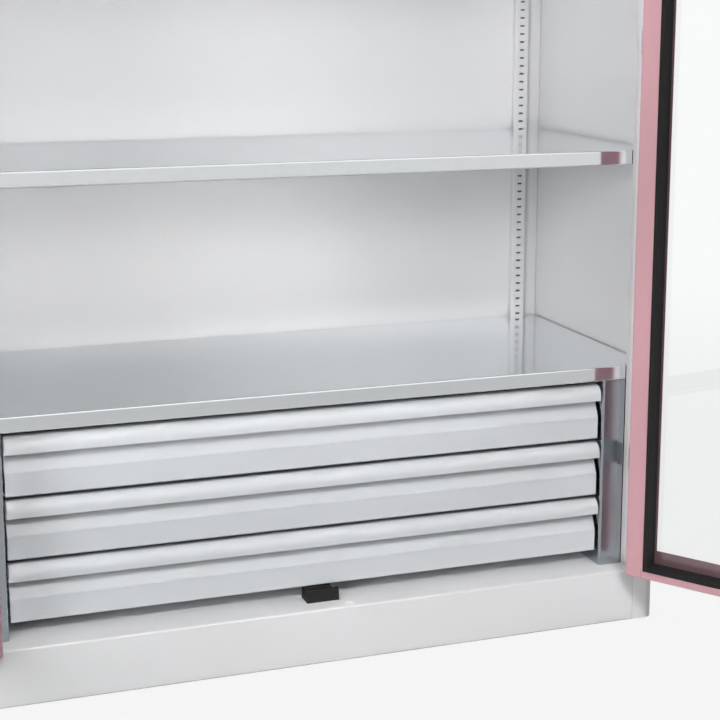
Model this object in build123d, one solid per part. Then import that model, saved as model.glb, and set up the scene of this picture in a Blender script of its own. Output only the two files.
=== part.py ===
from build123d import *
import math
import os

# A heavy-duty storage cabinet of folded sheet steel: two glazed doors, four shelves, three drawers.
# Millimetres, +X to the right, +Y to the back, +Z up. The origin is on the floor, at mid-width, on
# the carcass's front plane. The doors stand open and the drawers are shut.

# Carcass
cabinet_width = 1200.0
cabinet_depth = 500.0
cabinet_height = 1950.0
sheet = 1.2
bend_radius = 1.5  # inside radius of a fold
corner_radius = 18.0  # outside radius of the front corners
post_width = 42.0  # front face of each corner post
rebate_depth = 34.0  # front plane to door stop
stop_flange = 6.5  # how far the door stop stands into the opening
rear_flange = 25.0
base_height = 92.5
header_height = 45.0
foot_flange = 25.0
seam_gap = 0.3
base_gap = 0.8  # plinth and header to the corner posts

# Slotted rails
rail_width = 28.0
rail_depth = 11.0
rail_side_gap = 31.0  # rear rail to side wall
rail_end_gap = 2.0
post_rail_inset = 3.5  # from the door stop's edge
post_rail_tail = 20.0
slot_length = 9.5
slot_height = 3.5
slot_pitch = 15.2
first_slot = 13.8  # above the base
last_slot_margin = 15.0  # below the rail's top

# Shelves and their clips
shelf_stop_gap = 1.8  # door stop to shelf front
shelf_flange = 25.4
shelf_lip = 12.0
shelf_back_gap = 1.0
shelf_side_gap = 3.0
shelf_notch_gap = 2.0
shelf_cover = 2.0  # front flange hidden behind the door stop
first_shelf_room = 371.0  # above the drawer cover, to the nearest slot
shelf_spacing = 380.0
top_room = 250.0  # least room over the highest shelf
clip_width = 16.0
clip_sheet = 2.0
clip_reach = 26.0
clip_drop = 8.0
clip_hook = 4.0
slot_play = 0.5

# Drawers and their housing
drawer_count = 3
drawer_floor_gap = 24.5
drawer_gap = 6.0  # from one front to the next
drawer_top_gap = 8.6
housing_inset = 42.5  # door stop's edge to the housing's side plate
housing_back_gap = 8.6
housing_return = 20.0
housing_bend = 3.0  # inside radius of the front fold
front_end_gap = 4.0
front_height = 95.5
face_height = 38.0
face_setback = 10.5  # behind the lip
slope_run = 18.0
slope_drop = 17.5  # below the front's top
lip_proud = 0.5  # of the shelf front
lip_radius = 18.0  # outside
lip_height = 25.5
front_under = 30.0
crease_radius = 3.0
tray_back_gap = 17.4
tray_side_height = 70.0
tray_front_drop = 5.5

# Telescopic runners, three nested channels
runner_space = 15.0
runner_height = 45.0
runner_end_gap = 2.8
runner_rise = 40.0  # drawer bottom to the runner's middle
runner_play = 0.4
runner_flange = 7.5

# Doors
meeting_gap = 3.0
hinge_gap = 2.5
door_bottom_gap = 3.5
door_top_gap = 3.0
door_recess = 1.0
left_setback = 0.4  # the left door closes under the right door's strip
stop_gap = 2.0
door_edge_radius = 2.0
hinge_stile = 36.0
lock_stile = 65.0
rail_flange = 16.5
flange_seam_inset = 6.5  # corner seam, outside the stile's inner edge
gasket_wall = 4.0
gasket_lip = 1.2
gasket_cover = 3.0
pane_thickness = 3.0
pane_side_seat = 4.0  # skin behind the pane, inside the gasket
pane_end_seat = 23.5
door_rest_angle = 124.0
strip_overlap = 12.0
strip_plate_gap = 2.5
strip_end_gap = 4.0

# Hinges
hinge_end_inset = 189.0  # from the door's top and bottom
hinge_height = 40.0
hinge_axis_y = -6.0  # in front of the front plane
knuckle_radius = 5.0
knuckle_gap = 0.2
leaf_gap = 0.1
leaf_clearance = 1.2
leaf_back_gap = 3.8
pin_radius = 2.5
pin_play = 0.05
pin_head = 1.5

# Lock
lock_height = 1000.0
rod_x = 40.5  # lower rod, from mid-width
rod_radius = 4.0
rod_hole_radius = 8.0
rod_play = 0.3
rod_tip_gap = 0.3
cam_radius = 10.0
cam_sheet = 4.0
cam_edge = 5.0
cam_pin_radius = 2.5
cam_pin_play = 0.6
tab_gap = 3.0  # between the two rods' tabs
tab_height = 14.0
tab_thickness = 4.0
tab_step = 2.0  # cam to tab
spindle_width = 8.0
case_width = 46.0
case_height = 90.0
case_depth = 24.0
case_wall = 2.0
guide_width = 20.0
guide_height = 12.0
guide_wall = 2.0
guide_end_inset = 220.0
guide_lock_inset = 300.0
plate_width = 38.0
plate_height = 130.0
plate_thickness = 5.0
plate_radius = 8.0
plate_edge = 1.5
hub_radius = 15.0
hub_play = 0.3
lever_length = 118.0
lever_width = 22.0
lever_thickness = 11.0
lever_clearance = 26.0  # finger room behind the lever
lever_edge = 3.0
plug_radius = 7.0
plug_depth = 20.0
plug_play = 0.05
key_slot_width = 2.0
key_slot_length = 8.0
key_slot_depth = 6.0
screw_radius = 2.0
screw_head_radius = 4.0
screw_head_height = 2.0
screw_inset = 12.0
screw_play = 0.1

# Fittings on the base
stop_block_width = 55.0
stop_block_depth = 31.0
stop_block_height = 20.0
stop_face_depth = 8.0  # front part, as wide as the block
stop_body_height = 23.0  # rear part, under the lowest drawer
stop_body_inset = 10.0  # at its right end
stop_block_gap = 1.0  # behind the shut doors
stop_block_radius = 1.0
fixing_hole_radius = 2.5
fixing_hole_inset = 17.0  # from the jamb
fixing_hole_y = 11.0

# Places worked out from the sizes
half_sheet = sheet / 2
half_width = cabinet_width / 2
half_inside = half_width - sheet
half_opening = half_width - post_width
half_stop = half_opening - stop_flange
half_base = half_opening - base_gap
header_bottom = cabinet_height - header_height
back_face = cabinet_depth - 2 * sheet
rail_centre = half_inside - rail_side_gap - rail_width / 2
rail_bottom = base_height + rail_end_gap
rail_top = header_bottom - rail_end_gap
rear_web = back_face - rail_depth
post_back = rebate_depth + sheet
post_web = post_back + rail_depth
post_slot_x = (half_stop + post_rail_inset + half_inside) / 2
slot_start = base_height + first_slot
slot_count = int((rail_top - last_slot_margin - slot_start) / slot_pitch) + 1

shelf_front = post_back + shelf_stop_gap
drawer_pitch = front_height + drawer_gap
drawer_stack = drawer_count * drawer_pitch - drawer_gap
housing_height = drawer_floor_gap + drawer_stack + drawer_top_gap
housing_plate = half_stop - housing_inset
cover_shelf_top = base_height + housing_height + shelf_flange
shelf_count = int((header_bottom - top_room - cover_shelf_top - first_shelf_room) / shelf_spacing) + 1
shelf_tops = [
    slot_start + slot_pitch * round((wanted - slot_start) / slot_pitch)
    for wanted in [cover_shelf_top + first_shelf_room + n * shelf_spacing for n in range(shelf_count)]
]

top_drawer_bottom = base_height + drawer_floor_gap + (drawer_count - 1) * drawer_pitch
drawer_bottoms = [top_drawer_bottom - n * drawer_pitch for n in range(drawer_count)]
lip_y = shelf_front - lip_proud
face_y = lip_y + face_setback
slope_y = face_y + slope_run
half_front = housing_plate - front_end_gap
half_tray = housing_plate - runner_space
tray_front = slope_y + sheet
tray_rear = back_face - tray_back_gap

door_inner = meeting_gap / 2
door_outer = half_opening - hinge_gap
door_bottom = base_height + door_bottom_gap
door_top = header_bottom - door_top_gap
door_back = rebate_depth - stop_gap
stile_edge = door_outer - hinge_stile
lock_edge = door_inner + lock_stile
rail_low = door_bottom + rail_flange
rail_high = door_top - rail_flange
hinge_x = half_opening - hinge_gap / 2
hinge_heights = [
    door_bottom + hinge_end_inset,
    (door_bottom + door_top) / 2,
    door_top - hinge_end_inset,
]
lock_x = rod_x - cam_radius
upper_rod_x = lock_x - cam_radius
rod_y = (door_recess + door_back) / 2
rod_travel = math.sqrt(2) * cam_radius  # a quarter turn of the cam
tab_width = 2 * cam_radius - tab_gap
cam_back = rod_y - tab_thickness / 2 - tab_step
lever_front = door_recess - plate_thickness - lever_clearance - lever_thickness
screw_heights = [lock_height + way * (plate_height / 2 - screw_inset) for way in (-1, 1)]


# Shapes used again and again


def block(x0, x1, y0, y1, z0, z1):
    """A box between two corners."""
    middle = Pos((x0 + x1) / 2, (y0 + y1) / 2, (z0 + z1) / 2)
    return middle * Box(x1 - x0, y1 - y0, z1 - z0)


def outline(points, radii):
    """A flat face with a rounded corner at each point."""
    return make_face(FilletPolyline(*points, radius=radii, close=True))


def fold(points, radii, thickness=sheet):
    """The section of a folded sheet: its middle line and the inside radius of each bend."""
    line = [Vector(*p) for p in points]
    runs = [(b - a).normalized() for a, b in zip(line, line[1:])]
    sides = {1: [], -1: []}
    for n, point in enumerate(line):
        before = runs[max(n - 1, 0)]
        after = runs[min(n, len(runs) - 1)]
        normal_before = Vector(-before.Y, before.X)
        normal_after = Vector(-after.Y, after.X)
        mitre = (normal_before + normal_after) / (1 + normal_before.dot(normal_after))
        inner = 0 < n < len(line) - 1
        turn = before.X * after.Y - before.Y * after.X
        for side in sides:
            inside = side * turn > 0
            radius = radii[n - 1] + (0 if inside else thickness) if inner else 0
            sides[side].append((point + mitre * (side * thickness / 2), radius))
    loop = sides[1] + sides[-1][::-1]
    return outline([p for p, _ in loop], [r for _, r in loop])


def along_x(section, x0, x1):
    """A (Y, Z) section run across the width."""
    return extrude(Plane.YZ.offset(x0) * section, amount=x1 - x0, dir=(1, 0, 0))


def along_y(section, y0, y1):
    """An (X, Z) section run towards the back."""
    plane = Plane((0, y0, 0), x_dir=(1, 0, 0), z_dir=(0, -1, 0))
    return extrude(plane * section, amount=y1 - y0, dir=(0, 1, 0))


def along_z(section, z0, z1):
    """An (X, Y) section run upwards."""
    return extrude(Plane.XY.offset(z0) * section, amount=z1 - z0, dir=(0, 0, 1))


def upright_rod(x, y, radius, z0, z1):
    """A round bar standing on its end."""
    return along_z(Pos(x, y) * Circle(radius), z0, z1)


def cross_rod(x, z, radius, y0, y1):
    """A round bar lying towards the back."""
    return along_y(Pos(x, z) * Circle(radius), y0, y1)


def other_side(shape):
    """The same piece on the other side of the cabinet."""
    return mirror(shape, about=Plane.YZ)


def both_sides(shape):
    return [shape, other_side(shape)]


# Carcass


def side_panel():
    """A side, folded at the front into a corner post with the door rebate and at the back into a flange."""
    wall = half_width - half_sheet
    rear = cabinet_depth - half_sheet
    jamb = half_opening + half_sheet
    stop = rebate_depth + half_sheet
    outer = [(wall, half_sheet), (wall, rear), (half_width - rear_flange, rear)]
    outer_bends = [corner_radius - sheet, bend_radius]
    rebate = [(half_stop, stop), (jamb, stop), (jamb, half_sheet)]
    post = fold(rebate + outer, [bend_radius, bend_radius] + outer_bends)
    plain = fold([(half_opening, half_sheet)] + outer, outer_bends)
    panel = along_z(plain, 0, base_height)
    panel += along_z(post, base_height, header_bottom)
    panel += along_z(plain, header_bottom, cabinet_height - sheet)
    return panel


def back_panel():
    """A flat sheet on the sides' rear flanges, clear of their bends."""
    half = half_inside - bend_radius
    return block(-half, half, back_face, back_face + sheet, 0, cabinet_height - sheet)


def base_tray():
    """The floor, folded down at the front into the plinth and at the back into a foot."""
    floor = base_height - half_sheet
    rear = back_face - half_sheet
    section = fold(
        [
            (foot_flange, half_sheet),
            (half_sheet, half_sheet),
            (half_sheet, floor),
            (rear, floor),
            (rear, half_sheet),
            (back_face - foot_flange, half_sheet),
        ],
        [bend_radius] * 4,
    )
    wing_points = [
        (half_base, sheet),
        (half_inside, sheet),
        (half_inside, back_face),
        (half_base, back_face),
    ]
    wing_face = outline(wing_points, [0, corner_radius - sheet, 0, 0])
    wing = along_z(wing_face, base_height - sheet, base_height)
    tray = along_x(section, -half_base, half_base) + wing + other_side(wing)
    fixing_x = half_opening - fixing_hole_inset
    holes = [(rod_x, rod_y, rod_hole_radius)]
    holes += [(side * fixing_x, fixing_hole_y, fixing_hole_radius) for side in (1, -1)]
    for x, y, radius in holes:
        tray -= upright_rod(x, y, radius, base_height - 2 * sheet, base_height + sheet)
    return tray


def top_panel():
    """The lid, with the header and its door stop at the front and a flange at the back."""
    lid_points = [
        (-half_width, 0),
        (half_width, 0),
        (half_width, cabinet_depth),
        (-half_width, cabinet_depth),
    ]
    under = cabinet_height - sheet
    lid = along_z(outline(lid_points, [corner_radius, corner_radius, 0, 0]), under, cabinet_height)
    lintel = header_bottom + half_sheet
    stop = rebate_depth + half_sheet
    header_points = [
        (stop, header_bottom - stop_flange),
        (stop, lintel),
        (half_sheet, lintel),
        (half_sheet, under),
    ]
    header = along_x(fold(header_points, [bend_radius] * 2), -half_base, half_base)
    half_flange = half_stop - seam_gap
    trim = block(half_flange, half_width, 0, cabinet_depth, 0, header_bottom)
    header = header - trim - other_side(trim)
    hole_low, hole_high = header_bottom - sheet, header_bottom + 2 * sheet
    header -= upright_rod(upper_rod_x, rod_y, rod_hole_radius, hole_low, hole_high)
    half_rear = half_width - rear_flange - seam_gap
    rear = block(
        -half_rear, half_rear, cabinet_depth - sheet, cabinet_depth, cabinet_height - rear_flange, under
    )
    return lid + header + rear


def slot_cuts(x, y0, y1):
    """The row of slots up a rail."""
    slot = SlotOverall(slot_length, slot_height)
    row = Sketch() + [Pos(x, slot_start + n * slot_pitch) * slot for n in range(slot_count)]
    return along_y(row, y0, y1)


def rear_rail():
    """A slotted channel up the back panel."""
    left = rail_centre - rail_width / 2 + half_sheet
    right = rail_centre + rail_width / 2 - half_sheet
    web = rear_web + half_sheet
    points = [(left, back_face), (left, web), (right, web), (right, back_face)]
    rail = along_z(fold(points, [bend_radius] * 2), rail_bottom, rail_top)
    return rail - slot_cuts(rail_centre, rear_web - sheet, rear_web + 2 * sheet)


def post_rail():
    """A slotted sheet that closes the corner post behind the door stop."""
    inner = half_stop + post_rail_inset + half_sheet
    outer = half_inside - half_sheet
    web = post_web - half_sheet
    points = [(inner, post_back), (inner, web), (outer, web), (outer, web + post_rail_tail)]
    rail = along_z(fold(points, [bend_radius] * 2), rail_bottom, rail_top)
    return rail - slot_cuts(post_slot_x, post_web - 2 * sheet, post_web + sheet)


# Shelves


def shelf(top):
    """A tray-shaped shelf, turned down on all sides and notched round the four rails."""
    flat = top - half_sheet
    low = top - shelf_flange + half_sheet
    front = shelf_front + half_sheet
    rear = back_face - shelf_back_gap - half_sheet
    notch_front = post_web + shelf_notch_gap
    notch_rear = rear_web - shelf_notch_gap
    half_rear = rail_centre - rail_width / 2 - shelf_notch_gap
    half_front_edge = half_stop + shelf_cover
    side = half_inside - shelf_side_gap - half_sheet
    nose = [(shelf_front + shelf_lip, low), (front, low), (front, flat)]
    full = fold(nose + [(rear, flat), (rear, low)], [bend_radius] * 3)
    short = fold(nose + [(notch_rear, flat)], [bend_radius] * 2)
    wing_section = fold([(0, flat), (side, flat), (side, low)], [bend_radius])
    wing = along_y(wing_section, notch_front, notch_rear)
    board = along_x(full, -half_rear, half_rear)
    board += along_x(short, -half_front_edge, half_front_edge)
    return board + wing + other_side(wing)


def shelf_clip(x, web, towards, top):
    """A clip hooked into a slot, with a seat under the shelf. It points forwards (-1) or back (1)."""
    hook_z = top - slot_pitch
    seat_top = top - sheet
    half_clip = clip_width / 2
    half_hook = slot_length / 2 - slot_play
    half_hook_height = slot_height / 2 - slot_play
    spans = {
        "plate": (web, web + towards * clip_sheet),
        "seat": (web, web + towards * clip_reach),
        "hook": (web - towards * (sheet + clip_hook), web),
    }
    spans = {name: sorted(span) for name, span in spans.items()}
    clip = block(x - half_clip, x + half_clip, *spans["plate"], hook_z - clip_drop, seat_top)
    clip += block(x - half_clip, x + half_clip, *spans["seat"], seat_top - clip_sheet, seat_top)
    clip += block(
        x - half_hook, x + half_hook, *spans["hook"], hook_z - half_hook_height, hook_z + half_hook_height
    )
    return clip


def shelf_clips():
    clips = []
    for top in shelf_tops:
        clips += both_sides(shelf_clip(rail_centre, rear_web, -1, top))
        clips += both_sides(shelf_clip(post_slot_x, post_web, 1, top))
    return clips


# Drawer housing and drawers


def drawer_housing():
    """A side plate of the drawer block, with a front flange that runs behind the corner post."""
    plate = housing_plate + half_sheet
    front = shelf_front + half_sheet
    rear = back_face - housing_back_gap - half_sheet
    points = [
        (half_stop + shelf_cover, front),
        (plate, front),
        (plate, rear),
        (plate + housing_return, rear),
    ]
    section = fold(points, [housing_bend, bend_radius])
    return along_z(section, base_height, base_height + housing_height)


def drawer_front(bottom):
    """A formed front: upright face, sloping face and a rounded grip lip that stands forward of them."""
    half_lip = lip_y + half_sheet
    points = [
        (face_y + front_under, half_sheet),
        (face_y + half_sheet, half_sheet),
        (face_y + half_sheet, face_height),
        (slope_y + half_sheet, front_height - slope_drop),
        (slope_y + half_sheet, front_height - half_sheet),
        (half_lip, front_height - half_sheet),
        (half_lip, front_height - lip_height),
    ]
    radii = [bend_radius, crease_radius, crease_radius, bend_radius, lip_radius - sheet]
    return Pos(0, 0, bottom) * along_x(fold(points, radii), -half_front, half_front)


def drawer_tray(bottom):
    """An open box of sheet that stands on the front's lower fold."""
    low = bottom + sheet
    front_top = bottom + front_height - tray_front_drop
    side_top = low + tray_side_height
    tray = block(-half_tray, half_tray, tray_front, tray_rear, low, side_top)
    tray += block(-half_tray, half_tray, tray_front, tray_front + sheet, low, front_top)
    return tray - block(
        sheet - half_tray,
        half_tray - sheet,
        tray_front + sheet,
        tray_rear - sheet,
        low + sheet,
        side_top + sheet,
    )


def runner(stage):
    """One channel of a runner: 0 is fixed to the housing, 1 runs in it, 2 is on the drawer."""
    half = runner_height / 2 - half_sheet - stage * (sheet + runner_play)
    fixed_web = housing_plate - half_sheet
    drawer_web = half_tray + half_sheet
    middle_web = (fixed_web + drawer_web) / 2 + runner_flange / 2 - sheet
    web, mouth = [
        (fixed_web, fixed_web - runner_flange),
        (middle_web, middle_web - runner_flange),
        (drawer_web, drawer_web + runner_flange),
    ][stage]
    section = fold([(mouth, -half), (web, -half), (web, half), (mouth, half)], [bend_radius / 2] * 2)
    return along_y(section, tray_front + sheet, tray_rear - runner_end_gap)


def runner_pair(stage, bottom):
    return both_sides(Pos(0, 0, bottom + runner_rise) * runner(stage))


# Doors, made shut on the right side


def door_shell(front, with_lock):
    """A folded door: outer skin with a window, four edges, and flanges round the back."""
    shell = block(door_inner, door_outer, front, door_back, door_bottom, door_top)
    shell = fillet(shell.edges(), door_edge_radius)
    shell -= block(
        door_inner + sheet,
        door_outer - sheet,
        front + sheet,
        door_back - sheet,
        door_bottom + sheet,
        door_top - sheet,
    )
    flange_front, flange_back = door_back - 2 * sheet, door_back + sheet
    shell -= block(lock_edge, stile_edge, flange_front, flange_back, rail_low, rail_high)
    for x in (lock_edge - flange_seam_inset, stile_edge + flange_seam_inset):
        for z0, z1 in ((door_bottom, rail_low), (rail_high, door_top)):
            shell -= block(x - seam_gap, x + seam_gap, flange_front, flange_back, z0 - sheet, z1 + sheet)
    skin_front, skin_back = front - sheet, front + 2 * sheet
    side_margin = gasket_wall + pane_side_seat
    end_margin = gasket_wall + pane_end_seat
    shell -= block(
        lock_edge + side_margin,
        stile_edge - side_margin,
        skin_front,
        skin_back,
        rail_low + end_margin,
        rail_high - end_margin,
    )
    if with_lock:
        spindle_hole = spindle_width * math.sqrt(0.5) + rod_play
        shell -= cross_rod(lock_x, lock_height, spindle_hole, skin_front, skin_back)
        for z in screw_heights:
            shell -= cross_rod(lock_x, z, screw_radius + screw_play, skin_front, skin_back)
        hole = rod_radius + rod_play
        shell -= upright_rod(rod_x, rod_y, hole, door_bottom - sheet, door_bottom + 2 * sheet)
        shell -= upright_rod(upper_rod_x, rod_y, hole, door_top - 2 * sheet, door_top + sheet)
    return shell


def door_gasket(front):
    """A rubber frame that lines the door from its back flanges to the skin, with a lip over the flanges."""
    lip_back = door_back + gasket_lip
    ring = block(lock_edge, stile_edge, front + sheet, lip_back, rail_low, rail_high)
    ring += block(
        lock_edge - gasket_cover,
        stile_edge + gasket_cover,
        door_back,
        lip_back,
        rail_low - gasket_cover,
        rail_high + gasket_cover,
    )
    return ring - block(
        lock_edge + gasket_wall,
        stile_edge - gasket_wall,
        front,
        lip_back + gasket_lip,
        rail_low + gasket_wall,
        rail_high - gasket_wall,
    )


def door_pane(front):
    """A clear sheet that lies on the skin inside the gasket."""
    seat = front + sheet
    return block(
        lock_edge + gasket_wall,
        stile_edge - gasket_wall,
        seat,
        seat + pane_thickness,
        rail_low + gasket_wall,
        rail_high - gasket_wall,
    )


def hinge_leaf(z, on_door):
    """Half of a butt hinge: a leaf in the door gap and one knuckle on the axis."""
    leaf_sheet = (hinge_gap - leaf_gap) / 2
    if on_door:
        x0, x1 = door_outer, door_outer + leaf_sheet
        knuckle_z = (z + knuckle_gap / 2, z + hinge_height / 2)
    else:
        x0, x1 = half_opening - leaf_sheet, half_opening
        knuckle_z = (z - hinge_height / 2, z - knuckle_gap / 2)
    low, high = z - hinge_height / 2, z + hinge_height / 2
    leaf_front = hinge_axis_y + knuckle_radius + leaf_clearance
    leaf_back = door_back - leaf_back_gap
    half = block(x0, x1, leaf_front, leaf_back, low, high)
    half += block(x0, x1, hinge_axis_y, leaf_back, *knuckle_z)
    half += upright_rod(hinge_x, hinge_axis_y, knuckle_radius, *knuckle_z)
    return half - upright_rod(hinge_x, hinge_axis_y, pin_radius + pin_play, low - pin_head, high + pin_head)


def hinge_pin(z):
    low, high = z - hinge_height / 2, z + hinge_height / 2
    pin = upright_rod(hinge_x, hinge_axis_y, pin_radius, low, high)
    head_radius = (pin_radius + knuckle_radius) / 2
    return pin + upright_rod(hinge_x, hinge_axis_y, head_radius, low - pin_head, low)


def overlap_strip():
    """A flat strip on the right door's edge that covers the gap and holds the left door shut."""
    return block(
        -strip_overlap,
        lock_x - plate_width / 2 - strip_plate_gap,
        door_recess - sheet,
        door_recess,
        door_bottom + strip_end_gap,
        door_top - strip_end_gap,
    )


# Lock, on the shut right door


def handle_plate():
    """A rounded plate under the handle, with a hole for its hub."""
    face = RectangleRounded(plate_width, plate_height, plate_radius)
    front = door_recess - plate_thickness
    plate = along_y(Pos(lock_x, lock_height) * face, front, door_recess)
    plate = fillet(plate.faces().sort_by(Axis.Y)[0].edges(), plate_edge)
    plate -= cross_rod(lock_x, lock_height, hub_radius + hub_play, front - sheet, door_recess + sheet)
    for z in screw_heights:
        plate -= cross_rod(lock_x, z, screw_radius + screw_play, front - sheet, door_recess + sheet)
    return plate


def handle_screws():
    seat = door_recess - plate_thickness
    screws = []
    for z in screw_heights:
        head = cross_rod(lock_x, z, screw_head_radius, seat - screw_head_height, seat)
        screws.append(head + cross_rod(lock_x, z, screw_radius, seat, door_recess + 3 * sheet))
    return screws


def handle_lever():
    """A lever that lies across the door when unlocked, on a round hub with the key plug's bore."""
    reach = (lever_length - lever_width) / 2
    arm_face = Pos(lock_x + reach, lock_height) * SlotOverall(lever_length, lever_width)
    arm = along_y(arm_face, lever_front, lever_front + lever_thickness)
    flat_faces = arm.faces().sort_by(Axis.Y)
    arm = fillet(flat_faces[0].edges() + flat_faces[-1].edges(), lever_edge)
    hub = cross_rod(lock_x, lock_height, hub_radius, lever_front, door_recess - hub_play)
    bore = cross_rod(
        lock_x, lock_height, plug_radius + plug_play, lever_front - sheet, lever_front + plug_depth
    )
    return hub + arm - bore


def key_plug():
    """The round plug that the key turns, with its key slot."""
    plug = cross_rod(lock_x, lock_height, plug_radius, lever_front, lever_front + plug_depth - plug_play)
    slot = Pos(lock_x, lock_height) * Rectangle(key_slot_width, key_slot_length)
    return plug - along_y(slot, lever_front - sheet, lever_front + key_slot_depth)


def spindle_square():
    return Pos(lock_x, lock_height) * Rectangle(spindle_width, spindle_width)


def handle_spindle():
    """A square bar from the hub to the cam."""
    return along_y(spindle_square(), door_recess - hub_play, cam_back)


def cam_pins():
    """The two pins at rest, an eighth of a turn from level."""
    reach = cam_radius * math.sqrt(0.5)
    return [(lock_x + side * reach, lock_height + side * reach) for side in (1, -1)]


def lock_cam():
    """A flat two-armed cam on the spindle with a pin for each rod."""
    arm = Rot(0, 0, 45) * SlotCenterToCenter(2 * cam_radius, 2 * cam_edge)
    plate = Pos(lock_x, lock_height) * (arm + Circle(spindle_width))
    cam = along_y(plate, cam_back - cam_sheet, cam_back)
    cam -= along_y(spindle_square(), cam_back - 2 * cam_sheet, cam_back + cam_sheet)
    for x, z in cam_pins():
        cam += cross_rod(x, z, cam_pin_radius, cam_back, rod_y + tab_thickness / 2 + cam_pin_play)
    return cam


def lock_rod(x, pin, tip):
    """A round rod with a flat tab, slotted across for the cam's pin. It runs up or down to its tip."""
    pin_z = pin[1]
    way = math.copysign(1, tip - lock_height)
    join = lock_height + way * (cam_radius + cam_edge + cam_pin_play)
    tab_end = pin_z - way * tab_height / 2
    half_thick = tab_thickness / 2
    half_tab = tab_width / 2
    rod = upright_rod(x, rod_y, rod_radius, min(join, tip), max(join, tip))
    rod += block(
        x - half_tab,
        x + half_tab,
        rod_y - half_thick,
        rod_y + half_thick,
        min(join, tab_end),
        max(join, tab_end),
    )
    slot_ends = sorted((pin[0], lock_x + math.copysign(cam_radius, pin[0] - lock_x)))
    half_slot = cam_pin_radius + cam_pin_play
    return rod - block(
        slot_ends[0] - half_slot,
        slot_ends[1] + half_slot,
        rod_y - tab_thickness,
        rod_y + tab_thickness,
        pin_z - half_slot,
        pin_z + half_slot,
    )


def lower_rod():
    return lock_rod(rod_x, cam_pins()[0], door_bottom + rod_tip_gap)


def upper_rod():
    return lock_rod(upper_rod_x, cam_pins()[1], door_top - rod_tip_gap)


def lock_case():
    """An open-fronted box inside the lock stile, round the cam and the rods' tabs."""
    seat = door_recess + sheet
    half_case = case_width / 2
    low, high = lock_height - case_height / 2, lock_height + case_height / 2
    case = block(lock_x - half_case, lock_x + half_case, seat, seat + case_depth, low, high)
    case -= block(
        lock_x - half_case + case_wall,
        lock_x + half_case - case_wall,
        seat - sheet,
        seat + case_depth - case_wall,
        low + case_wall,
        high - case_wall,
    )
    hole = rod_radius + rod_play
    case -= upright_rod(rod_x, rod_y, hole, low - case_wall, low + 2 * case_wall)
    return case - upright_rod(upper_rod_x, rod_y, hole, high - 2 * case_wall, high + case_wall)


def rod_guides():
    """Blocks on the skin that steady the rods, two for each."""
    places = [
        (rod_x, door_bottom + guide_end_inset),
        (rod_x, lock_height - guide_lock_inset),
        (upper_rod_x, lock_height + guide_lock_inset),
        (upper_rod_x, door_top - guide_end_inset),
    ]
    guides = []
    back = rod_y + rod_radius + rod_play + guide_wall
    for x, z in places:
        low, high = z - guide_height / 2, z + guide_height / 2
        guide = block(x - guide_width / 2, x + guide_width / 2, door_recess + sheet, back, low, high)
        guides.append(guide - upright_rod(x, rod_y, rod_radius + rod_play, low - sheet, high + sheet))
    return guides


# Fittings on the base


def door_stop():
    """A moulded block behind the meeting edges of the shut doors, with a taller body behind its face."""
    front = door_back + stop_block_gap
    half = stop_block_width / 2
    face_top = base_height + stop_block_height
    body_top = base_height + stop_body_height
    face = block(-half, half, front, front + stop_face_depth, base_height, face_top)
    body_front, body_back = front + stop_face_depth, front + stop_block_depth
    body = block(-half, half - stop_body_inset, body_front, body_back, base_height, body_top)
    stop = face + body
    return fillet(stop.faces().sort_by(Axis.Z)[-1].edges(), stop_block_radius)


# The finished pieces, in place


def opened(shape):
    """A piece of the right door, swung from shut to where the door stands at rest."""
    axis = Pos(hinge_x, hinge_axis_y, 0)
    return axis * Rot(0, 0, door_rest_angle) * Pos(-hinge_x, -hinge_axis_y, 0) * shape


def opened_left(shape):
    return other_side(opened(shape))


frame_leaves = [hinge_leaf(z, False) for z in hinge_heights]
door_leaves = [hinge_leaf(z, True) for z in hinge_heights]
pins = [hinge_pin(z) for z in hinge_heights]
left_front = door_recess + left_setback

nodes = {
    "side_panel_left": other_side(side_panel()),
    "side_panel_right": side_panel(),
    "back_panel": back_panel(),
    "base_tray": base_tray(),
    "top_panel": top_panel(),
    "rear_rail_left": other_side(rear_rail()),
    "rear_rail_right": rear_rail(),
    "post_rail_left": other_side(post_rail()),
    "post_rail_right": post_rail(),
    "drawer_cover_shelf": shelf(cover_shelf_top),
    "shelf_clips": shelf_clips(),
    "drawer_housing_left": other_side(drawer_housing()),
    "drawer_housing_right": drawer_housing(),
    "fixed_runners": [r for bottom in drawer_bottoms for r in runner_pair(0, bottom)],
    "door_stop_block": door_stop(),
    "frame_hinge_leaves": [half for leaf in frame_leaves for half in both_sides(leaf)],
    "hinge_pins": [half for pin in pins for half in both_sides(pin)],
    "left_door_shell": opened_left(door_shell(left_front, False)),
    "left_door_gasket": opened_left(door_gasket(left_front)),
    "left_door_pane": opened_left(door_pane(left_front)),
    "left_door_hinge_leaves": [opened_left(leaf) for leaf in door_leaves],
    "right_door_shell": opened(door_shell(door_recess, True)),
    "right_door_gasket": opened(door_gasket(door_recess)),
    "right_door_pane": opened(door_pane(door_recess)),
    "right_door_hinge_leaves": [opened(leaf) for leaf in door_leaves],
    "right_door_overlap_strip": opened(overlap_strip()),
    "handle_plate": opened(handle_plate()),
    "handle_screws": [opened(screw) for screw in handle_screws()],
    "handle_lever": opened(handle_lever()),
    "handle_spindle": opened(handle_spindle()),
    "lock_cam": opened(lock_cam()),
    "key_plug": opened(key_plug()),
    "lock_case": opened(lock_case()),
    "rod_guides": [opened(guide) for guide in rod_guides()],
    "upper_rod": opened(upper_rod()),
    "lower_rod": opened(lower_rod()),
}
for n, top in enumerate(shelf_tops, 1):
    nodes[f"shelf_{n}"] = shelf(top)
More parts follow.
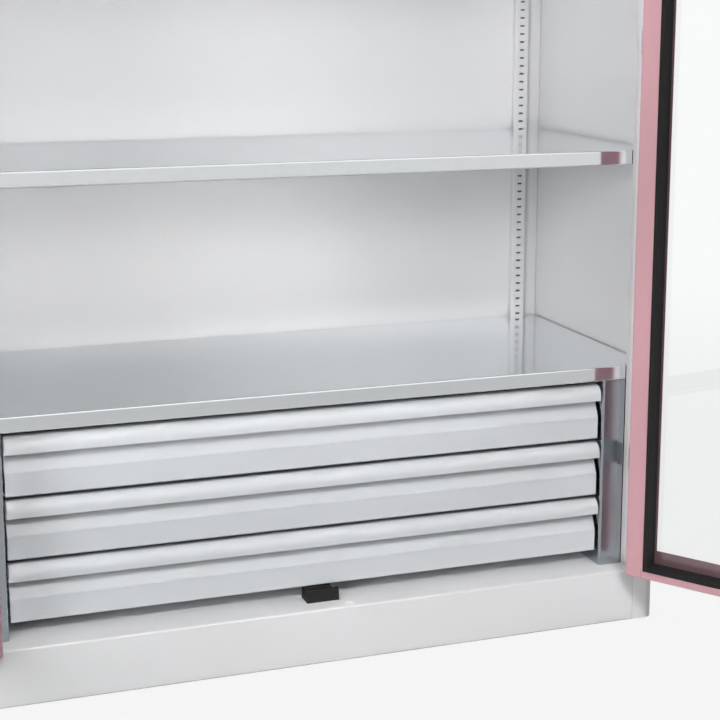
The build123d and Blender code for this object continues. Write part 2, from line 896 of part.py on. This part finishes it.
for n, bottom in enumerate(drawer_bottoms, 1):
    nodes[f"drawer_{n}_front"] = drawer_front(bottom)
    nodes[f"drawer_{n}_tray"] = drawer_tray(bottom)
    nodes[f"drawer_{n}_inner_runners"] = runner_pair(2, bottom)
    nodes[f"drawer_{n}_middle_runners"] = runner_pair(1, bottom)

os.makedirs("parts", exist_ok=True)
for name, piece in nodes.items():
    solids = piece if isinstance(piece, list) else [piece]
    export_step(Compound([s for p in solids for s in p.solids()]), f"parts/{name}.step")

lock_point = opened(Pos(lock_x, door_recess, lock_height)).position
print(len(nodes), "nodes")
print("right door turns about x", hinge_x, "y", hinge_axis_y)
print("handle turns about", lock_point, "and each rod moves", rod_travel)
print("drawer bottoms", drawer_bottoms)
print("shelf tops", cover_shelf_top, shelf_tops)
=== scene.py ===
# %% [markdown]
# # A storage cabinet, dressed for the studio
# The cabinet is folded sheet steel with two glazed doors, shelves on slotted rails and three drawers.
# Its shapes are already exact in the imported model, so they could be modelled again or kept. They are
# kept: this lesson gives each piece its finish, adds the folded hems, and sets the light and the camera.

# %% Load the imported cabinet
import math

import bmesh
import bpy
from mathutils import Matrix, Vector


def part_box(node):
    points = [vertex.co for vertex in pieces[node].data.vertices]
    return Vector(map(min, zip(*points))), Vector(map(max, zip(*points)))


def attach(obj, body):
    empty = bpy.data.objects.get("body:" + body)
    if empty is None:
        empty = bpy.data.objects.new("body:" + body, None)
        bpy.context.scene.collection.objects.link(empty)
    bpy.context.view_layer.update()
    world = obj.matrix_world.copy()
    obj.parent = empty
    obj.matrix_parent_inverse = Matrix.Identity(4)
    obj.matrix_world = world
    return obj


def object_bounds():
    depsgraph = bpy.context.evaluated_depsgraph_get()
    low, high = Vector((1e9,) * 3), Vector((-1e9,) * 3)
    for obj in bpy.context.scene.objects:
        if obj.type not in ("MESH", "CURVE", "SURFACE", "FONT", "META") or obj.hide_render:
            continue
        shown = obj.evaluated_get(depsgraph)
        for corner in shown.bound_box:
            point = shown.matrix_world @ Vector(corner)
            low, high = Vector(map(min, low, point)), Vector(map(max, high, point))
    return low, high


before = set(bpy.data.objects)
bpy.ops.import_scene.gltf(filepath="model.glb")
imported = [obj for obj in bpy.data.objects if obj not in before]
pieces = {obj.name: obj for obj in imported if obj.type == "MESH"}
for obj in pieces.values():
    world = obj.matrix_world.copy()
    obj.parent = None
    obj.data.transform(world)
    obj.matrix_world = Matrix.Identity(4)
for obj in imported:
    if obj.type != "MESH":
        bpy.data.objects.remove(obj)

cad_low, cad_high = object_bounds()
print("loaded", len(pieces), "pieces in a box of", [round(v, 3) for v in cad_high - cad_low])

# %% [markdown]
# ## Building a finish
# A finish is a small tree of nodes. Colours here are written as they look on a screen, so a helper turns
# them into the linear values that shaders use. A value that is the same all over a surface could come from
# a node too, but it goes on the shader's own socket, because an export then keeps it.

# %% Colours and nodes


def screen_colour(red, green, blue):
    """A colour from 0 to 255 as it looks on a screen, in linear values."""
    shares = [value / 255 for value in (red, green, blue)]
    linear = [s / 12.92 if s <= 0.04045 else ((s + 0.055) / 1.055) ** 2.4 for s in shares]
    return (*linear, 1.0)


def shade(colour, factor):
    """The same colour, darker or lighter by a factor."""
    return (*[channel * factor for channel in colour[:3]], 1.0)


def start_finish(name, settings):
    """A material and its main shader, with plain values on the shader's own sockets."""
    finish = bpy.data.materials.new(name)
    finish.use_nodes = True
    shader = finish.node_tree.nodes["Principled BSDF"]
    for socket, value in settings.items():
        shader.inputs[socket].default_value = value
    return finish, shader


def add_node(finish, kind, **options):
    """A new node in the finish's tree, with its options set."""
    node = finish.node_tree.nodes.new(kind)
    for option, value in options.items():
        setattr(node, option, value)
    return node


def connect(finish, source, target):
    """A link in the finish's tree."""
    finish.node_tree.links.new(source, target)


print("colour helper gives", [round(v, 3) for v in screen_colour(128, 128, 128)])

# %% [markdown]
# ## Grain
# No sheet is quite even: its tone, its gloss and its height all wander a little. A photograph of a sheet
# could show that, but noise needs no file and has no seams. It reads object coordinates. Each piece keeps
# its place in its own mesh, so the grain is in metres and stays on the piece when a door or drawer moves.

# %% Noise in metres


def grain(finish, scale, detail=2.0, stretch=(1, 1, 1)):
    """Noise with about scale lumps in a metre. A stretch below 1 draws them out along that axis."""
    place = add_node(finish, "ShaderNodeTexCoord")
    mapping = add_node(finish, "ShaderNodeMapping")
    mapping.inputs["Scale"].default_value = stretch
    noise = add_node(finish, "ShaderNodeTexNoise")
    noise.inputs["Scale"].default_value = scale
    noise.inputs["Detail"].default_value = detail
    connect(finish, place.outputs["Object"], mapping.inputs["Vector"])
    connect(finish, mapping.outputs["Vector"], noise.inputs["Vector"])
    return noise.outputs["Fac"]


along_width = (0.04, 1, 1)
along_depth = (1, 0.04, 1)
along_height = (1, 1, 0.04)
print("grain drawn out", 1 / along_width[0], "times along a streak")

# %% [markdown]
# ## What the grain drives
# Noise seldom leaves the middle of its range. The same grain can turn into a number, a colour or a relief,
# and the first two stretch that middle to the whole spread that the finish needs, so none of it is lost.

# %% Numbers, colours and relief
noise_low, noise_high = 0.3, 0.7
tone_low, tone_high = 0.35, 0.65


def spread_value(finish, source, low, high, socket):
    """Lets a number wander between two values with the grain."""
    spread = add_node(finish, "ShaderNodeMapRange")
    spread.inputs["From Min"].default_value = noise_low
    spread.inputs["From Max"].default_value = noise_high
    spread.inputs["To Min"].default_value = low
    spread.inputs["To Max"].default_value = high
    connect(finish, source, spread.inputs["Value"])
    connect(finish, spread.outputs["Result"], socket)


def spread_colour(finish, source, dark, light, socket):
    """Lets a colour wander between two tones with the grain."""
    ramp = add_node(finish, "ShaderNodeValToRGB")
    ends = zip(ramp.color_ramp.elements, (tone_low, tone_high), (dark, light))
    for end, position, colour in ends:
        end.position = position
        end.color = colour
    connect(finish, source, ramp.inputs["Fac"])
    connect(finish, ramp.outputs["Color"], socket)


def relief(finish, source, depth, strength, shader):
    """Turns the grain into a surface relief of that depth in metres."""
    bump = add_node(finish, "ShaderNodeBump")
    bump.inputs["Distance"].default_value = depth
    bump.inputs["Strength"].default_value = strength
    connect(finish, source, bump.inputs["Height"])
    connect(finish, bump.outputs["Normal"], shader.inputs["Normal"])


print("grain goes from", noise_low, "to", noise_high)

# %% [markdown]
# ## Painted shade in slots and folds
# The colour is darkened in slots, in folds and under the drawers' lips, on the coats and on the zinc alike:
# this is painted shade, standing for the shade that falls there. It could be painted one by one. An ambient
# occlusion node finds all such places instead: it tells how much room a point has within a short reach,
# whatever side it is seen from, and that room sets how dark the colour is.

# %% Painted shade in recesses
room_in_slot, room_on_sheet = 0.1, 0.52


def painted_recess_shade(finish, shader, reach, darkest):
    """Darkens the colour where walls stand close around a point, as painted shade."""
    colour_socket = shader.inputs["Base Color"]
    colour_source = colour_socket.links[0].from_socket
    room = add_node(finish, "ShaderNodeAmbientOcclusion", samples=8)
    room.inputs["Distance"].default_value = reach
    painted_shade_factor = add_node(finish, "ShaderNodeMapRange")
    painted_shade_factor.inputs["From Min"].default_value = room_in_slot
    painted_shade_factor.inputs["From Max"].default_value = room_on_sheet
    painted_shade_factor.inputs["To Min"].default_value = darkest
    connect(finish, room.outputs["AO"], painted_shade_factor.inputs["Value"])
    blend = add_node(finish, "ShaderNodeMix", data_type="RGBA", blend_type="MULTIPLY")
    blend.inputs["Factor"].default_value = 1.0
    connect(finish, colour_source, blend.inputs["A"])
    connect(finish, painted_shade_factor.outputs["Result"], blend.inputs["B"])
    connect(finish, blend.outputs["Result"], colour_socket)


# The room below which the colour is darkened as painted shade.
print("painted shade starts below a room of", room_on_sheet)

# %% [markdown]
# ## Powder coat
# The carcass, the drawers and the doors are coated with powder that melts into a skin about a tenth of a
# millimetre thick. Close up it has the fine dimples of orange peel, and its gloss wanders a little. Noise
# gives both. One function makes all three coats, so that only the colour differs.

# %% The three coats


def powder_coat(name, colour, roughness=0.4, wander=0.04):
    """A satin coat with orange peel and a slight wander in tone and gloss."""
    finish, shader = start_finish(name, {"IOR": 1.5, "Specular IOR Level": 0.4})
    darker, lighter = shade(colour, 0.985), shade(colour, 1.012)
    tone = grain(finish, scale=2.5, detail=3)
    spread_colour(finish, tone, darker, lighter, shader.inputs["Base Color"])
    # Painted shade: the coat's colour is darkened in slots, folds and under lips, where shade falls.
    painted_recess_shade(finish, shader, reach=0.03, darkest=0.3)
    gloss = grain(finish, scale=35)
    spread_value(finish, gloss, roughness - wander, roughness + wander, shader.inputs["Roughness"])
    peel = grain(finish, scale=420, detail=1)
    relief(finish, peel, depth=0.00006, strength=0.35, shader=shader)
    return finish


carcass_coat = powder_coat("carcass_powder_coat", screen_colour(233, 233, 234))
drawer_coat = powder_coat("drawer_powder_coat", screen_colour(207, 210, 213))
door_coat = powder_coat("door_powder_coat", screen_colour(203, 158, 165))
print("coats:", carcass_coat.name, drawer_coat.name, door_coat.name)

# %% [markdown]
# ## Zinc
# The shelves and the drawer housings are sheet with a bright zinc skin, a little blue, and glossy enough
# to mirror the door's edge. The runners, clips, hinges and rods are plated and duller. Both are metals, so
# the colour is the reflection's tint. Rolling leaves faint streaks along the sheet, which drawn-out noise
# gives. Zinc also sets in crystals, and a cell pattern could make them bold, but here they hardly show.

# %% Sheet zinc and plated steel


def zinc(name, colour, streaks, crystals, roughness, wander=0.15):
    """A metal with rolling streaks along one axis, and about so many faint crystals in a metre."""
    finish, shader = start_finish(name, {"Metallic": 1.0, "IOR": 2.0})
    cells = add_node(finish, "ShaderNodeTexVoronoi")
    cells.inputs["Scale"].default_value = crystals
    place = add_node(finish, "ShaderNodeTexCoord")
    connect(finish, place.outputs["Object"], cells.inputs["Vector"])
    split = add_node(finish, "ShaderNodeSeparateColor")
    connect(finish, cells.outputs["Color"], split.inputs["Color"])
    tone = split.outputs["Red"]
    spread_colour(finish, tone, shade(colour, 0.99), colour, shader.inputs["Base Color"])
    # Painted shade: the zinc's colour is darkened in slots and near walls, where shade falls.
    painted_recess_shade(finish, shader, reach=0.02, darkest=0.5)
    rolling = grain(finish, scale=60, detail=3, stretch=streaks)
    smooth, rough = roughness * (1 - wander), roughness * (1 + wander)
    spread_value(finish, rolling, smooth, rough, shader.inputs["Roughness"])
    relief(finish, rolling, depth=0.000004, strength=0.04, shader=shader)
    return finish


bright_zinc = screen_colour(248, 252, 254)
grey_zinc = screen_colour(182, 189, 194)
runner_tone = screen_colour(190, 194, 198)
fitting_tone = screen_colour(196, 198, 200)
sheet_crystals = 70
plate_crystals = 220
shelf_zinc = zinc("shelf_zinc", bright_zinc, along_width, sheet_crystals, roughness=0.095)
housing_zinc = zinc("housing_zinc", grey_zinc, along_height, sheet_crystals, roughness=0.2)
runner_plate = zinc("plated_runner_steel", runner_tone, along_depth, plate_crystals, roughness=0.3)
fitting_plate = zinc("plated_fitting_steel", fitting_tone, along_height, plate_crystals, roughness=0.28)
print("zinc finishes:", shelf_zinc.name, housing_zinc.name, runner_plate.name, fitting_plate.name)

# %% [markdown]
# ## Rubber and moulded plastic
# The glazing gasket is black extruded rubber, dull, with faint lines from the die. The stop block and the
# handle are moulded plastic with a fine spark-eroded grain. Plain black would do from afar, but it looks
# like a hole close up, so one grain moves the tone, the gloss and the relief together.

# %% Black finishes


def black_finish(name, colour, roughness, gloss, lumps, stretch=(1, 1, 1), wander=0.06):
    """A dark finish with that many lumps of grain in a metre."""
    finish, shader = start_finish(name, {"IOR": 1.5, "Specular IOR Level": gloss})
    darker, lighter = shade(colour, 0.85), shade(colour, 1.15)
    tone = grain(finish, scale=lumps, detail=2, stretch=stretch)
    spread_colour(finish, tone, darker, lighter, shader.inputs["Base Color"])
    spread_value(finish, tone, roughness - wander, roughness + wander, shader.inputs["Roughness"])
    relief(finish, tone, depth=0.00005, strength=0.4, shader=shader)
    return finish


die_lines = 300
spark_grain = 900
rubber_tone = screen_colour(42, 41, 42)
block_tone = screen_colour(36, 36, 37)
handle_tone = screen_colour(36, 36, 38)
gasket_rubber = black_finish(
    "gasket_rubber", rubber_tone, roughness=0.75, gloss=0.1, lumps=die_lines, stretch=along_height
)
moulded_black = black_finish(
    "moulded_black_plastic", block_tone, roughness=0.55, gloss=0.2, lumps=spark_grain
)
handle_black = black_finish(
    "handle_black", handle_tone, roughness=0.4, gloss=0.35, lumps=spark_grain
)
print("black finishes:", gasket_rubber.name, moulded_black.name, handle_black.name)

# %% [markdown]
# ## Clear panes
# The panes are clear acrylic. A see-through shader could stand in for it, but real refraction is cheap on a
# flat sheet and gives the edges their line. Only shadow rays pass straight through, so that a pane doesn't
# shade the room behind it. Faint wipe marks keep the surface from looking like nothing at all.

# %% The pane


def clear_pane(name, tint):
    """Clear sheet whose gloss is broken by faint wipe marks, and which lets shadow rays through."""
    finish, shader = start_finish(name, {"IOR": 1.49, "Transmission Weight": 1.0, "Base Color": tint})
    wipes = grain(finish, scale=9, detail=4, stretch=(1, 1, 0.25))
    spread_value(finish, wipes, 0.0, 0.035, shader.inputs["Roughness"])
    rays = add_node(finish, "ShaderNodeLightPath")
    through = add_node(finish, "ShaderNodeBsdfTransparent")
    through.inputs["Color"].default_value = tint
    either = add_node(finish, "ShaderNodeMixShader")
    connect(finish, rays.outputs["Is Shadow Ray"], either.inputs["Fac"])
    connect(finish, shader.outputs["BSDF"], either.inputs[1])
    connect(finish, through.outputs["BSDF"], either.inputs[2])
    output = finish.node_tree.nodes["Material Output"]
    connect(finish, either.outputs["Shader"], output.inputs["Surface"])
    return finish


acrylic = clear_pane("clear_acrylic_pane", screen_colour(249, 250, 250))
print("pane finish:", acrylic.name)

# %% [markdown]
# ## Dressing the pieces
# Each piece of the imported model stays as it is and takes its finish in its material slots. A list of all
# the pieces could say which finish goes where, but the names already say what a piece is. So a few
# beginnings, endings and whole names are enough to sort them.

# %% Sort the pieces by finish


def finish_for(name):
    """The finish that a piece of this name wears."""
    if name.startswith(("shelf_clips", "frame_hinge", "hinge_pins")) or name.endswith("hinge_leaves"):
        return fitting_plate
    if name in ("handle_screws", "handle_spindle", "lock_cam", "key_plug", "upper_rod", "lower_rod"):
        return fitting_plate
    if name.endswith("runners"):
        return runner_plate
    if name.startswith("shelf_") or name == "drawer_cover_shelf":
        return shelf_zinc
    if name.startswith("drawer_housing"):
        return housing_zinc
    if name.endswith(("_door_shell", "_overlap_strip")):
        return door_coat
    if name.endswith("_gasket"):
        return gasket_rubber
    if name.endswith("_pane"):
        return acrylic
    if name in ("handle_lever", "handle_plate"):
        return handle_black
    if name in ("door_stop_block", "rod_guides", "lock_case"):
        return moulded_black
    if name.startswith("drawer_"):
        return drawer_coat
    return carcass_coat


for name, piece in pieces.items():
    if not piece.material_slots:
        piece.data.materials.append(finish_for(name))
    for slot in piece.material_slots:
        slot.material = finish_for(name)
print("dressed", len(pieces), "pieces")

# %% [markdown]
# ## Hems on the drawer trays
# A tray's upper edges are folded back on themselves so that nobody is cut on a bare edge. The fold shows
# as a small round bead. A curve with a round bevel would do, but a mesh tube takes the coat's grain and
# exports cleanly, so the bead is swept here along the three free edges.

# %% Sweep a bead along an edge
upright = Vector((0, 0, 1))
sharpest_mitre = 0.5


def bead(name, path, radius, sides=10):
    """A closed round bead along level straight runs, mitred at the corners."""
    mesh = bmesh.new()
    rings = []
    for n, point in enumerate(path):
        before = (point - path[n - 1]).normalized() if n else None
        after = (path[n + 1] - point).normalized() if n + 1 < len(path) else None
        run = ((before or after) + (after or before)).normalized()
        across = run.cross(upright)
        widen = 1 / max(run.dot(after or before), sharpest_mitre)
        ring = []
        for k in range(sides):
            turn = 2 * math.pi * k / sides
            offset = across * (math.cos(turn) * widen) + upright * math.sin(turn)
            ring.append(mesh.verts.new(point + offset * radius))
        rings.append(ring)
    for first, second in zip(rings, rings[1:]):
        for k in range(sides):
            j = (k + 1) % sides
            mesh.faces.new((first[k], first[j], second[j], second[k]))
    mesh.faces.new(rings[0][::-1])
    mesh.faces.new(rings[-1])
    bmesh.ops.recalc_face_normals(mesh, faces=mesh.faces)
    data = bpy.data.meshes.new(name)
    mesh.to_mesh(data)
    mesh.free()
    data.shade_smooth()
    piece = bpy.data.objects.new(name, data)
    bpy.context.collection.objects.link(piece)
    return piece


print("bead helper ready")

# %% [markdown]
# ## One hem for each tray
# The hem follows the left side, the rear and the right side of a tray, in the middle of the sheet. Its place
# could be typed in for each drawer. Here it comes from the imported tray's box and the height of its sides, so
# one loop does all three, and riding on the drawer's body makes each hem slide along.

# %% Hem the trays
sheet = 0.0012
hem_radius = 0.0016
tray_side = 0.07  # the tray's front edge is higher, so its box doesn't tell this
for n in (1, 2, 3):
    low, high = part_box(f"drawer_{n}_tray")
    top = low.z + tray_side
    left, right = low.x + sheet / 2, high.x - sheet / 2
    front, rear = low.y + sheet, high.y - sheet / 2
    corners = [(left, front), (left, rear), (right, rear), (right, front)]
    hem = bead(f"drawer_{n}_tray_hem", [Vector((x, y, top)) for x, y in corners], hem_radius)
    hem.data.materials.append(drawer_coat)
    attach(hem, f"drawer_{n}")
    print("hemmed tray", n, "at", round(top, 4))

# %% [markdown]
# ## White background
# The cabinet stands in a white studio. The background could be lit until it is white, but that would wash
# the cabinet out as well. Instead the world looks white to the camera and to mirror or glass rays, and gives
# everything else only a weak light, so that a colour looks as it is written.

# %% Rays that see white


def seen_directly(nodes, links, mirror_share=None):
    """1 for camera and glass rays, 1 or a share for mirror rays, 0 for the light that spreads."""
    rays = nodes.new("ShaderNodeLightPath")
    mirror = rays.outputs["Is Glossy Ray"]
    if mirror_share is not None:
        part = nodes.new("ShaderNodeMath")
        part.operation = "MULTIPLY"
        links.new(mirror, part.inputs[0])
        links.new(mirror_share, part.inputs[1])
        mirror = part.outputs[0]
    camera_or_glass = nodes.new("ShaderNodeMath")
    camera_or_glass.operation = "MAXIMUM"
    links.new(rays.outputs["Is Camera Ray"], camera_or_glass.inputs[0])
    links.new(rays.outputs["Is Transmission Ray"], camera_or_glass.inputs[1])
    any_of_three = nodes.new("ShaderNodeMath")
    any_of_three.operation = "MAXIMUM"
    links.new(camera_or_glass.outputs[0], any_of_three.inputs[0])
    links.new(mirror, any_of_three.inputs[1])
    return any_of_three.outputs[0]


print("ray helper ready")

# %% The world
ambient_strength = 0.1
world = bpy.data.worlds.new("studio")
bpy.context.scene.world = world
world.use_nodes = True
sky = world.node_tree
ambient = sky.nodes["Background"]
ambient.inputs["Color"].default_value = (1, 1, 1, 1)
ambient.inputs["Strength"].default_value = ambient_strength
white = sky.nodes.new("ShaderNodeBackground")
white.inputs["Color"].default_value = (1, 1, 1, 1)
pick = sky.nodes.new("ShaderNodeMixShader")
sky.links.new(seen_directly(sky.nodes, sky.links), pick.inputs["Fac"])
sky.links.new(ambient.outputs["Background"], pick.inputs[1])
sky.links.new(white.outputs["Background"], pick.inputs[2])
sky.links.new(pick.outputs["Shader"], sky.nodes["World Output"].inputs["Surface"])
print("world set, ambient", ambient_strength)

# %% [markdown]
# ## Floor
# A studio floor is pale, and a pale floor throws so much light back up that the drawers' slopes and lips
# would look flat. So this floor is grey to light that spreads, and nearly white to the camera and through
# glass, with a share of the grey left near the cabinet to hold its shadow. Mirrors see it about half white,
# because the bright zinc would look like paper otherwise. Both shares grow with the distance, so the floor
# runs into the background without a line.

# %% The floor's paint
floor_reach = 30.0
floor_drop = 0.0005
bpy.ops.mesh.primitive_grid_add(x_subdivisions=8, y_subdivisions=8, size=2 * floor_reach)
floor = bpy.context.object
floor.name = "studio_floor"
floor.location.z = -floor_drop
dull_paint = {"Roughness": 0.9, "Specular IOR Level": 0.1}
floor_finish, floor_shader = start_finish("studio_floor_paint", dull_paint)
wander = grain(floor_finish, scale=1.5)
grey, paler_grey = screen_colour(108, 108, 108), screen_colour(114, 114, 114)
spread_colour(floor_finish, wander, grey, paler_grey, floor_shader.inputs["Base Color"])
print("floor", 2 * floor_reach, "m across")

# %% The floor's white


def with_distance(finish, near, far, start, end):
    """A value that goes smoothly from near to far between two distances from the cabinet, in metres."""
    place = add_node(finish, "ShaderNodeTexCoord")
    away = add_node(finish, "ShaderNodeVectorMath", operation="LENGTH")
    connect(finish, place.outputs["Object"], away.inputs[0])
    fade = add_node(finish, "ShaderNodeMapRange", interpolation_type="SMOOTHSTEP")
    fade.inputs["From Min"].default_value = start
    fade.inputs["From Max"].default_value = end
    fade.inputs["To Min"].default_value = near
    fade.inputs["To Max"].default_value = far
    connect(finish, away.outputs["Value"], fade.inputs["Value"])
    return fade.outputs["Result"]


floor_tree = floor_finish.node_tree
mirror_share = with_distance(floor_finish, near=0.52, far=0.66, start=1.5, end=6.0)
white_share = with_distance(floor_finish, near=0.9, far=1.0, start=1.5, end=4.0)
seen = seen_directly(floor_tree.nodes, floor_tree.links, mirror_share)
share = add_node(floor_finish, "ShaderNodeMath", operation="MULTIPLY")
connect(floor_finish, seen, share.inputs[0])
connect(floor_finish, white_share, share.inputs[1])
glow = add_node(floor_finish, "ShaderNodeEmission")
floor_mix = add_node(floor_finish, "ShaderNodeMixShader")
connect(floor_finish, share.outputs[0], floor_mix.inputs["Fac"])
connect(floor_finish, floor_shader.outputs["BSDF"], floor_mix.inputs[1])
connect(floor_finish, glow.outputs["Emission"], floor_mix.inputs[2])
connect(floor_finish, floor_mix.outputs["Shader"], floor_tree.nodes["Material Output"].inputs["Surface"])
floor.data.materials.append(floor_finish)
print("floor painted with", floor_finish.name)

# %% [markdown]
# ## Lamps
# A photographer lights such a cabinet with softboxes, large lamps behind cloth, with a grid on those that
# should reach only one place. Point lamps would be simpler, but their shadows are hard. An area lamp is a
# softbox, and its spread is the grid. The lamps are hidden from the camera, from mirrors and from glass, as
# they would be kept out of the picture.

# %% A softbox


def softbox(name, place, target, size, power, spread=180):
    """A rectangular lamp that looks at a point, with a grid that narrows its spread in degrees."""
    lamp = bpy.data.lights.new(name, "AREA")
    lamp.shape = "RECTANGLE"
    lamp.size, lamp.size_y = size
    lamp.energy = power
    lamp.spread = math.radians(spread)
    holder = bpy.data.objects.new(name, lamp)
    holder.location = place
    holder.visible_camera = False
    holder.visible_glossy = False
    holder.visible_transmission = False
    holder.rotation_euler = (Vector(target) - Vector(place)).to_track_quat("-Z", "Y").to_euler()
    bpy.context.collection.objects.link(holder)
    return holder


print("softbox helper ready")

# %% [markdown]
# ## Beams into the cabinet
# The shelves shade the compartments under them. More light from the front would reach the back, but it would
# bleach the drawers on its way. So weak narrow beams are aimed into the compartments, and into the two above
# the drawers from both sides as well. One more beam reaches the foot of the right post, and one from high up
# rakes down the drawers and brings out their slopes.

# %% Aim the beams
row = -3.8  # most beams stand in a row this far to the front
corner = -3.4  # the two for the right wall stand nearer, at the left corner
back = cad_high.y
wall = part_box("side_panel_right")[1].x
softbox("shelf_beam", (-0.6, -3.6, 2.2), (-0.5, back, 0.95), size=(2.2, 0.9), power=2.3, spread=30)
softbox("top_beam", (0, row, 1.95), (0, back, 1.62), size=(2.0, 0.5), power=1.1, spread=14)
softbox("upper_beam", (-0.3, row, 1.38), (-0.1, back, 1.06), size=(1.7, 0.4), power=0.3, spread=10)
softbox("lower_beam", (-0.3, row, 0.76), (-0.1, back, 0.62), size=(1.7, 0.3), power=0.17, spread=8)
softbox("upper_left_beam", (0.9, row, 1.42), (-0.45, back, 1.08), size=(1.2, 0.4), power=0.55, spread=10)
softbox("lower_left_beam", (0.9, row, 0.76), (-0.45, back, 0.6), size=(1.2, 0.3), power=0.5, spread=8)
softbox("upper_right_beam", (-2, corner, 1.42), (wall, 0.26, 1.06), size=(0.4, 0.4), power=0.13, spread=6)
softbox("lower_right_beam", (-2, corner, 0.7), (wall, 0.26, 0.53), size=(0.4, 0.2), power=0.03, spread=5)
softbox("post_beam", (0.2, row, 0.75), (0.7, 0.0, 0.22), size=(0.3, 0.25), power=0.1, spread=5)
softbox("drawer_beam", (-0.3, -3.5, 3.2), (0.15, 0, 0.1), size=(3.2, 0.4), power=6.4, spread=26)
print("beams aimed at a back wall at", round(back, 3))

# %% [markdown]
# ## Fill
# The outside needs even light from every side, because the cabinet is looked at from all round. One lamp
# overhead could do it, but it would leave the sides grey. A large softbox on the left fills the front, a
# strip hangs over the doors, and three more stand at the sides and the rear.

# %% Place the large lamps
middle = (0, 0.2, 0.75)
side_reach = 4.2
softbox("left_fill", (-3.2, -2.8, 1.3), (0.5, 0, 0.35), size=(1.6, 1.6), power=94)
softbox("overhead_strip", (0.0, -0.55, 3.6), (0, -0.05, 0.0), size=(2.4, 1.0), power=16)
for side, reach in (("left", -side_reach), ("right", side_reach)):
    softbox(f"{side}_side_softbox", (reach, 1.8, 1.6), middle, size=(2.0, 2.4), power=90)
softbox("rear_softbox", (0.6, 4.5, 2.0), middle, size=(3.0, 2.4), power=100)
print("lamps placed:", len(bpy.data.lights))

# %% [markdown]
# ## Camera
# The photograph looks past the left door at the lower right of the cabinet, from a little above the
# middle. Its upright lines don't converge, because the picture is cut from a larger one. Shifting the lens
# that far would push other views out of the frame, so the camera tips down and shifts only a little.

# %% Set the camera
tip_down = math.radians(10.5)
turn_right = 0.337
camera = bpy.data.cameras.new("photo_camera")
camera.sensor_width = 36
camera.lens = 79.68
camera.shift_y = -0.0949
camera.dof.use_dof = False
camera.clip_end = 200
tripod = bpy.data.objects.new("photo_camera", camera)
tripod.location = (-0.7665, -2.338, 1.0743)
tripod.rotation_euler = (math.pi / 2 - tip_down, 0, -turn_right)
bpy.context.collection.objects.link(tripod)
bpy.context.scene.camera = tripod
bpy.context.scene.view_settings.view_transform = "Standard"
print("camera at", tuple(round(v, 3) for v in tripod.location), "lens", camera.lens)
